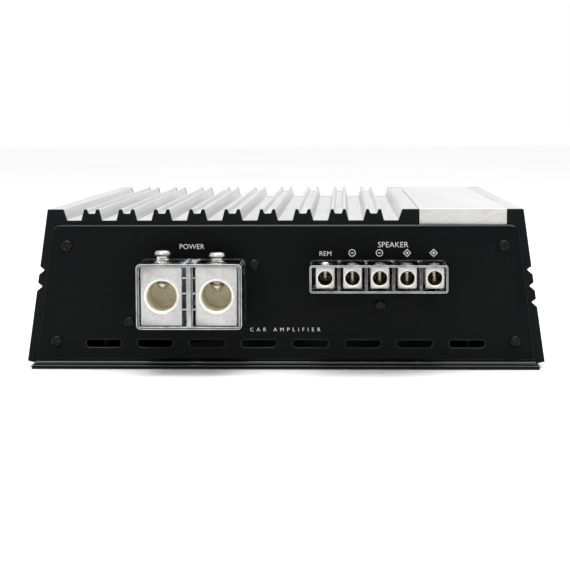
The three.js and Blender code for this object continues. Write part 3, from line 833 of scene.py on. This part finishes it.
# The lip takes the painted highlight, and the bore and the screw hole take the bore's painted light or shade.
def block_finish(bore_radius, bore_middle, hole_radius, hole_y):
    """0 for the outside, 1 for the lip, 2 for the inside of the bore and of the screw hole."""

    def choose(face):
        place = face.calc_center_median()
        away = math.hypot(place.x - bore_middle[0], place.z - bore_middle[1])
        inside = away < bore_radius * 1.02
        in_hole = math.hypot(place.x - bore_middle[0], place.y - hole_y) < hole_radius
        if (inside and place.y > BLOCK_FACE + 0.1 * MM) or (in_hole and abs(face.normal.z) < 0.5):
            return 2
        slanted = 0.2 < abs(face.normal.y) < 0.95
        return 1 if slanted and away < bore_radius * 1.3 else 0

    return choose


def corner_weight(edge):
    """Full for the corners that run from front to rear, less for the rest."""
    if turn_of(edge) < SHARP_TURN:
        return 0
    along = (edge.verts[1].co - edge.verts[0].co).normalized()
    if turn_of(edge) < 80:
        return 0.1
    return 1 if abs(along.y) > 0.99 else 0.3


SPEAKER_SETS = ["remote", "speaker_1", "speaker_2", "speaker_3", "speaker_4"]
# The radius of each block's wire bore, and the height of its middle, in millimetres.
BORES = {f"power_block_{side}": (7.1, 37.55) for side in ("left", "right")}
BORES.update({f"{one}_block": (3.4, 46) for one in SPEAKER_SETS})
for packed, (radius, height) in BORES.items():
    centre = (middle_of(packed).x * MM, height * MM)
    big = packed.startswith("power")
    screw = packed.replace("block", "set_screw")
    hole = (0.62 * (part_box(screw)[1].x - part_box(screw)[0].x), middle_of(screw).y * MM)
    rounded(
        packed, 0.7 if big else 1.3, nickel, lip_nickel_painted_highlight, bore_nickel_painted_light if big else bore_brass_painted_shade,
        segments=3, choose_finish=block_finish(radius * MM, centre, *hole), weigh_edge=corner_weight,
    )
print(len(BORES), "terminal blocks")

# %% [markdown]
# The covers are clear sleeves, one round each set of blocks, with dividers between the blocks. Every
# part of a sleeve shows the light in its own way, and that light is painted: each face chooses among four
# finishes, the clear walls, the rim painted dim, the front of a divider painted pale or dim, and the edges
# painted bright. The walls are also painted bright where they meet the panel, so the faces are first sliced
# there, and where the pale part of the divider ends.

# %% Terminal covers
COVER_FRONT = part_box("power_terminal_cover")[0].y
COVER_ROOT = -126
SKIN = 0.7 * MM
DIVIDER = (-44.7, -41.7)
PALE_END = -42.7
COVER_SLICES = [((0, COVER_ROOT * MM, 0), (0, 1, 0)), ((PALE_END * MM, 0, 0), (1, 0, 0))]
COVERS = [("power_terminal_cover", 0.34, thick_divider), ("speaker_terminal_cover", 0.24, thin_divider)]


# The rim is painted dim, and the pale divider front and the root of the walls are painted bright.
def cover_finish(low, high):
    """0 for clear walls, 1 for the rim, 2 for the front of a divider, 3 for the lit root of the walls."""

    def choose(face):
        place = face.calc_center_median()
        if face.normal.y < -0.9:
            pale = place.y > COVER_FRONT + 0.2 * MM and (low.x > 0 or place.x < PALE_END * MM)
            return 2 if pale else 1
        outside = place.x < low.x + SKIN or place.x > high.x - SKIN
        outside = outside or place.z < low.z + SKIN or place.z > high.z - SKIN
        return 3 if outside and place.y > COVER_ROOT * MM else 0

    return choose


def cover_weight(edge):
    """Only corners that stick out are rounded, and the dividers and the screw holes hardly at all."""
    if turn_of(edge) < 25 or not edge.is_convex:
        return 0
    place = (edge.verts[0].co + edge.verts[1].co) / 2
    if place.y < COVER_FRONT + 0.1 * MM:
        return 1
    along = (edge.verts[1].co - edge.verts[0].co).normalized()
    return 0.6 if abs(along.y) > 0.99 and place.y < COVER_ROOT * MM and turn_of(edge) < 60 else 0.2


for packed, width, divider in COVERS:
    low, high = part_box(packed)
    rounded(
        packed, width, clear, painted_dim_rim, divider, lit_edge,
        segments=3, choose_finish=cover_finish(low, high), weigh_edge=cover_weight,
        slices=COVER_SLICES, edge_finish=3,
    )
print("Two covers, with a bevel and four finishes each")

# %% [markdown]
# Low collars guard the screw holes of the covers. Two raised ribs on top of the power cover stiffen its
# middle, and small pegs keep the power blocks from touching the divider. They are made as one piece,
# because they are moulded with the covers and never move apart. The ribs and pegs take the pale edge
# finish, a painted highlight, and the collars are clear.

# %% Collars, ribs and pegs
POWER_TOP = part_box("power_terminal_cover")[1].z / MM
SPEAKER_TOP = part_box("speaker_terminal_cover")[1].z / MM
DETAIL_FRONT = -152.2
RIB_HALF_WIDTH = 0.7
PEG_END = -149
PEG_HALF_HEIGHT = 0.3
PEG_HEIGHTS = (31.4, 38.9, 46.1)


def collar(packed, inner, outer, height, top):
    place = middle_of(packed)
    ring = closed((inner, 0), (outer, 0), (outer, height * 0.6), (outer - 0.25, height), (inner, height))
    return moved(turned(ring), place.x, place.y, top)


details = [collar(f"power_set_screw_{side}", 4.75, 5.5, 0.4, POWER_TOP) for side in ("left", "right")]
details += [collar(f"{one}_set_screw", 2.72, 3.3, 0.3, SPEAKER_TOP) for one in SPEAKER_SETS]
details = [with_finish(ring, 1) for ring in details]
for middle in (DIVIDER[0] - 0.9, DIVIDER[1] + 0.9):
    left, right = middle - RIB_HALF_WIDTH, middle + RIB_HALF_WIDTH
    details.append(slab((left, DETAIL_FRONT, POWER_TOP), (right, COVER_ROOT, POWER_TOP + 0.4)))
for height in PEG_HEIGHTS:
    under, over = height - PEG_HALF_HEIGHT, height + PEG_HALF_HEIGHT
    for start, end in ((DIVIDER[0] - 1.9, DIVIDER[0]), (DIVIDER[1], DIVIDER[1] + 1.1)):
        details.append(slab((start, DETAIL_FRONT, under), (end, PEG_END, over)))
# The ribs and pegs are painted bright with the edge finish; the collars are clear.
cover_details = show("terminal_cover_details", joined("terminal_cover_details", details), lit_edge, clear)
round_edges(cover_details, 0.15)
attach(cover_details, "casing")
for packed in ("power_terminal_base", "speaker_terminal_base"):
    rounded(packed, 0.3, moulded)
print("The covers have", len(details), "small details, and each stands on a base")

# %% [markdown]
# A set screw clamps the wire in each block. Its core is turned: a cone point, a waist, and a rounded
# crown that is a little wider than the waist. The thread is a ridge swept along a helix, which shows a
# true slope where a stack of rings would not. A hexagon socket is cut in the crown.

# %% A tree that cuts a thread


def thread_tree():
    sizes = [("Ridge Radius", 0.0035), ("Ridge Depth", 0.0006), ("Pitch", 0.0015), ("Thread Start", 0.003),
             ("Thread Length", 0.01), ("Socket Radius", 0.002), ("Socket Depth", 0.003), ("Top", 0.018)]
    inputs = [("Geometry", GEOMETRY, None)] + [(label, FLOAT, size) for label, size in sizes]
    inputs += [("Material", MATERIAL, None)]
    tree, given, result = new_tree("threaded_set_screw", inputs)
    turns = node(tree, "ShaderNodeMath", {0: given["Thread Length"], 1: given["Pitch"]}, operation="DIVIDE")
    helix = node(
        tree, "GeometryNodeCurveSpiral",
        {"Resolution": 36, "Rotations": turns.outputs[0], "Start Radius": given["Ridge Radius"],
         "End Radius": given["Ridge Radius"], "Height": given["Thread Length"]},
    )
    level = node(tree, "GeometryNodeSetCurveNormal", {0: helix.outputs[0]}, mode="Z_UP")
    diamond = node(
        tree, "GeometryNodeCurvePrimitiveCircle", {"Resolution": 4, "Radius": given["Ridge Depth"]},
    )
    ridge = node(
        tree, "GeometryNodeCurveToMesh",
        {"Curve": level.outputs[0], "Profile Curve": diamond.outputs[0], "Fill Caps": True},
    )
    lift = node(tree, "ShaderNodeCombineXYZ", {2: given["Thread Start"]})
    raised = node(
        tree, "GeometryNodeTransform", {"Geometry": ridge.outputs[0], "Translation": lift.outputs[0]},
    )
    deep = node(tree, "ShaderNodeMath", {0: given["Socket Depth"], 1: 2.0}, operation="MULTIPLY")
    key = node(
        tree, "GeometryNodeMeshCylinder",
        {"Vertices": 6, "Radius": given["Socket Radius"], "Depth": deep.outputs[0]},
    )
    top = node(tree, "ShaderNodeCombineXYZ", {2: given["Top"]})
    key_up = node(tree, "GeometryNodeTransform", {"Geometry": key.outputs[0], "Translation": top.outputs[0]})
    core = node(
        tree, "GeometryNodeMeshBoolean", {"Mesh 1": given["Geometry"], "Mesh 2": key_up.outputs[0]},
        operation="DIFFERENCE", solver="EXACT",
    )
    whole = node(tree, "GeometryNodeJoinGeometry", {0: [core.outputs[0], raised.outputs[0]]})
    return deliver(tree, whole.outputs[0], given["Material"], result)


THREADS = thread_tree()
print("The thread tree has", len(THREADS.nodes), "nodes")

# %% The seven set screws


def set_screw(packed):
    """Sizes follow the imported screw: its radius gives the waist, the crown and the pitch."""
    low, high = box_of(packed)
    radius, length = (high.x - low.x) / 2, high.z - low.z
    waist, crown = 0.79 * radius, 1.06 * radius
    start, crown_height = 0.75 * radius, 0.72 * radius
    point = [(0, 0), (0.3 * radius, 0), (0.38 * radius, 0.08 * radius), (waist - 0.08 * radius, 0.5 * radius)]
    straight = [(waist, 0.68 * radius), (waist, length - crown_height)]
    under_crown = [(crown - 0.08 * radius, length - 0.56 * radius), (crown, length - 0.44 * radius)]
    over_crown = [(crown - 0.02 * radius, length - 0.32 * radius), (0.92 * radius, length - 0.14 * radius)]
    flat_top = [(0.8 * radius, length - 0.03 * radius), (0.72 * radius, length), (0, length)]
    mesh = grown(
        packed + "_threaded", THREADS,
        start=turned(point + straight + under_crown + over_crown + flat_top, 48),
        Ridge_Radius=waist * MM, Ridge_Depth=0.19 * radius * MM, Pitch=0.4 * radius * MM,
        Thread_Start=start * MM, Thread_Length=(length - start - crown_height - 0.3 * radius) * MM,
        Socket_Radius=0.5 * radius * MM, Socket_Depth=0.8 * radius * MM, Top=length * MM,
        Material=screw_nickel,
    )
    middle = middle_of(packed)
    moved(mesh, middle.x, middle.y, low.z)
    piece = show(packed + "_threaded", smooth(mesh, 36), screw_nickel)
    stand_for(piece, packed, packed)
    return len(mesh.polygons)


set_screws = ["power_set_screw_left", "power_set_screw_right"] + [f"{one}_set_screw" for one in SPEAKER_SETS]
print("Faces of the set screws:", [set_screw(packed) for packed in set_screws])

# %% [markdown]
# The panel lettering is silk-screened: a thin layer of white ink. Text objects make it, turned into
# mesh and laid on the panel. Only plain words and signs are used, such as the names of the terminals.

# %% Tools for printing
INK = 0.03


def words(text, height, spacing=1.0):
    """Capital letters of a given height in millimetres, centred, lying flat. They are made one unit
    thick, and then scaled to the thickness of the ink."""
    curve = bpy.data.curves.new("lettering", "FONT")
    curve.body = text
    curve.extrude = 0.5
    curve.resolution_u = 3
    curve.offset = -0.012
    curve.space_character = spacing
    holder = bpy.data.objects.new("lettering", curve)
    bpy.context.scene.collection.objects.link(holder)
    mesh = solid_of(holder, "lettering")
    xs = [v.co.x for v in mesh.vertices]
    ys = [v.co.y for v in mesh.vertices]
    scale = height * MM / (max(ys) - min(ys))
    mesh.transform(Matrix.Translation((-(max(xs) + min(xs)) / 2, -(max(ys) + min(ys)) / 2, 0)))
    mesh.transform(Matrix.Diagonal((scale, scale, INK * MM, 1)))
    return mesh


def flat_ring(radius, width, sides):
    inner = radius - width
    return turned(closed((inner, -INK / 2), (radius, -INK / 2), (radius, INK / 2), (inner, INK / 2)), sides)


def stroke(width, height):
    return slab((-width / 2, -height / 2, -INK / 2), (width / 2, height / 2, INK / 2))


# %% Front lettering
SIGN_RADIUS = 1.7
SIGN_HEIGHT = 55.69
MINUS_X = (32.4, 45.45)
PLUS_X = (58.65, 71.3)


def on_front(mesh, x, z):
    return moved(mesh, x, FRONT_FACE - INK / 2, z, ON_FRONT)


front_print = [
    on_front(words("POWER", 2.36), -44.35, 58.75),
    on_front(words("SPEAKER", 2.55), 52.0, 59.65),
    on_front(words("REM", 2.15), 19.65, 55.4),
    on_front(words("CAR AMPLIFIER", 1.75, 2.05), 0.3, 18.75),
]
for x in MINUS_X:
    front_print += [on_front(flat_ring(SIGN_RADIUS, 0.3, 28), x, SIGN_HEIGHT)]
    front_print += [on_front(stroke(1.3, 0.38), x, SIGN_HEIGHT)]
for x in PLUS_X:
    front_print += [on_front(flat_ring(SIGN_RADIUS + 0.25, 0.4, 4), x, SIGN_HEIGHT)]
    front_print += [on_front(stroke(1.2, 0.4), x, SIGN_HEIGHT)]
    for side in (-1, 1):
        front_print += [on_front(stroke(0.4, 0.4), x, SIGN_HEIGHT + side * 0.4)]
front_lettering = show("front_lettering", joined("front_lettering", front_print), print_ink)
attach(front_lettering, "casing")
print("Front lettering:", len(front_lettering.data.polygons), "faces")

# %% [markdown]
# Marks round a ring are needed twice: for the ticks of the dials and for the ribs on the grip of the
# knobs. A line of points is bent into an arc by its index, and a small bar stands on each point, turned
# to face the middle. Rings set out by hand would need a list of places, and this needs a count.

# %% A tree for marks round a ring


def ring_tree():
    inputs = [("Count", COUNT, 11), ("Ring Radius", FLOAT, 0.008), ("First Angle", FLOAT, 0.0)]
    inputs += [("Step", FLOAT, 0.5), ("Mark Size", VECTOR, (0.001, 0.0003, 0.0001))]
    inputs += [("Material", MATERIAL, None)]
    tree, given, result = new_tree("marks_round_a_ring", inputs)

    def math_of(operation, *values):
        return node(tree, "ShaderNodeMath", dict(enumerate(values)), operation=operation).outputs[0]

    line = node(tree, "GeometryNodeMeshLine", {"Count": given["Count"]})
    index = node(tree, "GeometryNodeInputIndex").outputs[0]
    angle = math_of("MULTIPLY_ADD", index, given["Step"], given["First Angle"])
    across = math_of("MULTIPLY", math_of("COSINE", angle), given["Ring Radius"])
    up = math_of("MULTIPLY", math_of("SINE", angle), given["Ring Radius"])
    place = node(tree, "ShaderNodeCombineXYZ", {0: across, 1: up})
    arc = node(tree, "GeometryNodeSetPosition", {"Geometry": line.outputs[0], "Position": place.outputs[0]})
    bar = node(tree, "GeometryNodeMeshCube", {"Size": given["Mark Size"]})
    # The turn is worked out on the points, so the index counts the marks.
    turn = node(tree, "ShaderNodeCombineXYZ", {2: angle})
    marks = node(
        tree, "GeometryNodeInstanceOnPoints",
        {"Points": arc.outputs[0], "Instance": bar.outputs[0], "Rotation": turn.outputs[0]},
    )
    return deliver(tree, marks.outputs[0], given["Material"], result)


RING_MARKS = ring_tree()
print("The tree for ring marks has", len(RING_MARKS.nodes), "nodes")

# %% [markdown]
# The controls sit at the rear: four knobs with dials, a phase switch, a socket for a wired remote, two
# signal jacks and a lamp. A knob has a ribbed grip and a white pointer. Its body is turned, because only
# the grip and the pointer break its roundness.

# %% Knobs
KNOB_ZERO = REAR_FACE + 1
KNOB_HEIGHT = 40
KNOB_TOP = 7.9
SHAFT_RADIUS = 2.1
GRIP_RIBS = 28
GRIP_RADIUS = 5.05
GRIP_MIDDLE = 4.1
RIB_SIZE = (0.8 * MM, 0.5 * MM, 5.6 * MM)
KNOBS = {"bass_boost": "BASS", "subsonic": "SUBSONIC", "low_pass": "LOW PASS", "gain": "GAIN"}


def knob(name):
    place = middle_of(f"{name}_knob")
    rear_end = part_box(f"{name}_knob")[0].y / MM - KNOB_ZERO
    shaft = [(0, rear_end), (SHAFT_RADIUS, rear_end), (SHAFT_RADIUS, 0)]
    skirt = [(5.1, 0), (5.3, 0.3), (5.3, 0.9), (5.1, 1.1)]
    rim = [(4.95, KNOB_TOP - 0.8), (4.8, KNOB_TOP - 0.3), (4.4, KNOB_TOP), (3.4, KNOB_TOP)]
    dish = [(3.1, KNOB_TOP - 0.25), (0, KNOB_TOP - 0.3)]
    grip = grown(
        "grip", RING_MARKS, Count=GRIP_RIBS, Ring_Radius=GRIP_RADIUS * MM, Step=2 * math.pi / GRIP_RIBS,
        Mark_Size=RIB_SIZE, Material=knob_plastic,
    )
    grip = moved(grip, 0, 0, GRIP_MIDDLE)
    pointer = with_finish(slab((-0.35, 1.2, KNOB_TOP - 0.6), (0.35, 5.2, KNOB_TOP + 0.06)), 1)
    body = smooth(turned(shaft + skirt + rim + dish, 48))
    mesh = joined(f"{name}_knob_finished", [body, grip, pointer])
    piece = show(f"{name}_knob_finished", moved(mesh, place.x, KNOB_ZERO, KNOB_HEIGHT, ON_REAR),
                 knob_plastic, print_ink)
    stand_for(piece, f"{name}_knob", f"{name}_knob")
    return place.x


knob_places = {name: knob(name) for name in KNOBS}
print("Knobs at", {name: round(x, 2) for name, x in knob_places.items()})

# %% Signal jacks
JACK_RADIUS = 4.15
NECK_RADIUS = 3.65
FLANGE_RADIUS = 5.6
GROOVE_RADIUS = 3.95
NECK_END = REAR_FACE - 2.5
FLANGE_FOOT = REAR_FACE + 0.2
FLANGE_TOP = REAR_FACE + 1.9
GROOVE_START = REAR_FACE + 2.9
MOUTH_DEPTH = 0.9


def jack_barrel(start, end):
    """The metal outline of a jack, from its end inside the casing to its mouth."""
    neck = [(0, start), (NECK_RADIUS, start), (NECK_RADIUS, NECK_END), (JACK_RADIUS, NECK_END)]
    flange = [(JACK_RADIUS, FLANGE_FOOT), (FLANGE_RADIUS, FLANGE_FOOT), (FLANGE_RADIUS, FLANGE_TOP - 0.6)]
    flange += [(FLANGE_RADIUS - 0.25, FLANGE_TOP - 0.3), (JACK_RADIUS, FLANGE_TOP)]
    groove = [(JACK_RADIUS, GROOVE_START), (GROOVE_RADIUS, GROOVE_START + 0.2)]
    groove += [(GROOVE_RADIUS, GROOVE_START + 0.5), (JACK_RADIUS, GROOVE_START + 0.7)]
    mouth = [(JACK_RADIUS, end - 0.4), (JACK_RADIUS - 0.4, end), (3.2, end), (3.1, end - 0.1)]
    mouth += [(3.1, end - MOUTH_DEPTH), (0, end - MOUTH_DEPTH)]
    return neck + flange + groove + mouth


for side, nylon in (("right", red_nylon), ("left", white_nylon)):
    packed = f"rca_jack_{side}"
    low, high = box_of(packed)
    end, depth = high.y, high.y - MOUTH_DEPTH
    tube = closed((1.25, depth), (1.75, depth), (1.75, end - 0.15), (1.25, end - 0.15))
    disc = closed((1.75, depth), (3.1, depth), (3.1, end - 0.35), (1.75, end - 0.3))
    insulator = with_finish(turned(disc, 48), 1)
    jack = joined(packed + "_finished", [turned(jack_barrel(low.y, end), 48), turned(tube, 32), insulator])
    middle = middle_of(packed)
    piece = show(packed + "_finished", smooth(moved(jack, middle.x, 0, middle.z, ON_REAR)), gold, nylon)
    stand_for(piece, "casing", packed)
print("Two signal jacks")

# %% Lamp, socket and switch
CONTACTS = 4
CONTACT_SPACING = 2.0
CONTACT_BACK, CONTACT_FRONT = 132.6, 143.4
CONTACT_LOW, CONTACT_HIGH = 43.2, 43.8
rounded("status_led", 0.1, lens)
rounded("remote_socket", 0.3, moulded)
rounded("phase_switch_body", 0.25, tin)
rounded("phase_switch_slider", 0.25, moulded, body="phase_switch_slider")
for name in KNOBS:
    rounded(f"{name}_potentiometer", 0.25, tin)
socket_middle = middle_of("remote_socket")
pins = []
for i in range(CONTACTS):
    x = socket_middle.x + (i - (CONTACTS - 1) / 2) * CONTACT_SPACING
    pins.append(slab((x - 0.3, CONTACT_BACK, CONTACT_LOW), (x + 0.3, CONTACT_FRONT, CONTACT_HIGH)))
contacts = show("remote_socket_contacts", joined("remote_socket_contacts", pins), gold)
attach(contacts, "casing")
print("A lamp, a switch, four potentiometers and a socket with", CONTACTS, "contacts")

# %% [markdown]
# The rear print names each control, and a ring of eleven ticks stands round each knob, over the 290
# degrees that it turns.

# %% Rear lettering
DIAL_SWEEP = 290
DIAL_TICKS = 11
DIAL_RADIUS = 8.1
TICK_SIZE = (1.3 * MM, 0.3 * MM, INK * MM)


def on_rear(mesh, x, z):
    return moved(mesh, x, REAR_FACE + INK / 2, z, ON_REAR)


rear_print = [
    on_rear(words("INPUT", 2.2), -80, 54.5),
    on_rear(words("L", 1.9), middle_of("rca_jack_left").x, 49.2),
    on_rear(words("R", 1.9), middle_of("rca_jack_right").x, 49.2),
    on_rear(words("PHASE", 1.9), 54, 49.2),
    on_rear(words("0", 1.7), 57.6, 33.2),
    on_rear(words("180", 1.7), 50.2, 33.2),
    on_rear(words("REMOTE", 1.9), 78.5, 49.8),
    on_rear(words("ON", 1.7), 94, 44.6),
]
for name, x in knob_places.items():
    ticks = grown(
        "ticks", RING_MARKS, Count=DIAL_TICKS, Ring_Radius=DIAL_RADIUS * MM,
        First_Angle=math.radians(90 - DIAL_SWEEP / 2), Step=math.radians(DIAL_SWEEP / (DIAL_TICKS - 1)),
        Mark_Size=TICK_SIZE, Material=print_ink,
    )
    rear_print += [on_rear(ticks, x, KNOB_HEIGHT)]
    rear_print += [on_rear(words(KNOBS[name], 1.9), x, 52.2)]
    rear_print += [on_rear(words("MIN", 1.2), x + 6.2, 31), on_rear(words("MAX", 1.2), x - 6.2, 31)]
rear_lettering = show("rear_lettering", joined("rear_lettering", rear_print), print_ink)
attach(rear_lettering, "casing")
print("Rear lettering:", len(rear_lettering.data.polygons), "faces")

# %% [markdown]
# Inside are the boards, the filter capacitors, the transistors and two coils. The coils are wound:
# each turn is a loop of wire that stands across the ring, one instance for each point of a circle.

# %% A tree for windings


def winding_tree():
    inputs = [("Turns", COUNT, 60), ("Ring Radius", FLOAT, 0.024), ("Loop Radius", FLOAT, 0.011),
              ("Wire Radius", FLOAT, 0.0008), ("Material", MATERIAL, None)]
    tree, given, result = new_tree("winding", inputs)

    def circle(resolution, radius):
        inputs = {"Resolution": resolution, "Radius": given[radius]}
        return node(tree, "GeometryNodeCurvePrimitiveCircle", inputs).outputs[0]

    ring = circle(given["Turns"], "Ring Radius")
    points = node(tree, "GeometryNodeCurveToPoints", {"Curve": ring}, mode="EVALUATED").outputs
    loop, wire = circle(20, "Loop Radius"), circle(6, "Wire Radius")
    turn = node(tree, "GeometryNodeCurveToMesh", {"Curve": loop, "Profile Curve": wire})
    turns = node(
        tree, "GeometryNodeInstanceOnPoints",
        {"Points": points["Points"], "Instance": turn.outputs[0], "Rotation": points["Rotation"]},
    )
    return deliver(tree, turns.outputs[0], given["Material"], result)


WINDING = winding_tree()
print("The winding tree has", len(WINDING.nodes), "nodes")

# %% The inside
COILS = {"toroid_transformer": 64, "output_inductor": 40}
CORE_SIDES = 24
THICKEST_WIRE = 0.9
for packed, turns in COILS.items():
    low, high = box_of(packed)
    section = (high.z - low.z) / 2
    ring_radius = (high.x - low.x) / 2 - section
    middle = (low + high) / 2
    wire = min(THICKEST_WIRE, 0.42 * 2 * math.pi * (ring_radius - section) / turns)
    winding = grown(
        packed + "_winding", WINDING, Turns=turns, Ring_Radius=ring_radius * MM,
        Loop_Radius=(section - wire) * MM, Wire_Radius=wire * MM, Material=copper,
    )
    thickness = section - 2 * wire
    angles = [2 * math.pi * i / CORE_SIDES for i in range(CORE_SIDES)]
    outline = [(ring_radius + thickness * math.cos(a), thickness * math.sin(a)) for a in angles]
    core = with_finish(turned(closed(*outline), 64), 1)
    coil = joined(packed + "_finished", [winding, core])
    piece = show(packed + "_finished", smooth(moved(coil, *middle), 60), copper, moulded)
    stand_for(piece, "casing", packed)
INSIDE = {
    "circuit_board": (0.15, resist), "control_board": (0.15, resist), "left_transistor_row": (0.2, epoxy),
    "right_transistor_row": (0.2, epoxy), "capacitor_1": (0.6, shrink_sleeve),
    "capacitor_2": (0.6, shrink_sleeve), "capacitor_3": (0.6, shrink_sleeve),
}
for packed, (width, material) in INSIDE.items():
    rounded(packed, width, material)
print(len(COILS) + len(INSIDE), "pieces inside")
